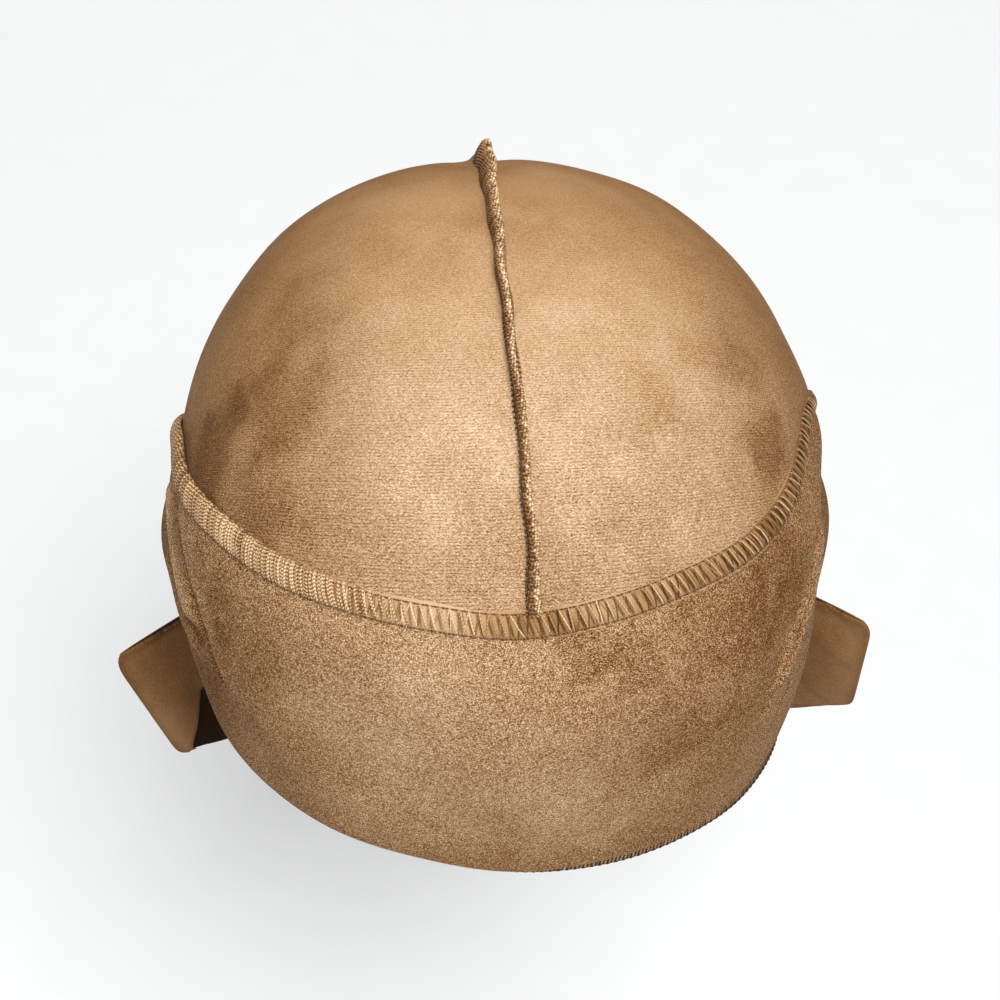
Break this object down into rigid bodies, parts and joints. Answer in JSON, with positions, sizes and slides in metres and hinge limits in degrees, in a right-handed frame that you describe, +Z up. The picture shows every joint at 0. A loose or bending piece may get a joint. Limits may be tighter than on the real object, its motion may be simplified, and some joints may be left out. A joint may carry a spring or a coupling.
{
  "type": "durag",
  "caption": "Worn velvet durag with a raised centre seam, a broad brow band with a flat seam, and a bow tied at the nape over a short cape.",
  "frame": {"origin": "inside of the crown at its top, where the cloth rests on the head", "axes": "+Z up, the brow towards -Y, the wearer's left towards +X"},
  "size_m": [0.2434, 0.1962, 0.364],
  "materials": {
    "velvet": "stretch velvet with a short nap and a soft sheen",
    "thread": "overlock stitching in a matching thread with a slight shine"
  },
  "bodies": {
    "root": {"crown_left": "velvet", "crown_right": "velvet", "crown_seam": "thread", "brow_band": "velvet", "band_seam": "thread", "brow_hem": "thread", "knot": "velvet", "bow_loop_left": "velvet", "bow_loop_right": "velvet", "tail_left": "velvet", "tail_right": "velvet", "cape": "velvet"}
  },
  "joints": []
}
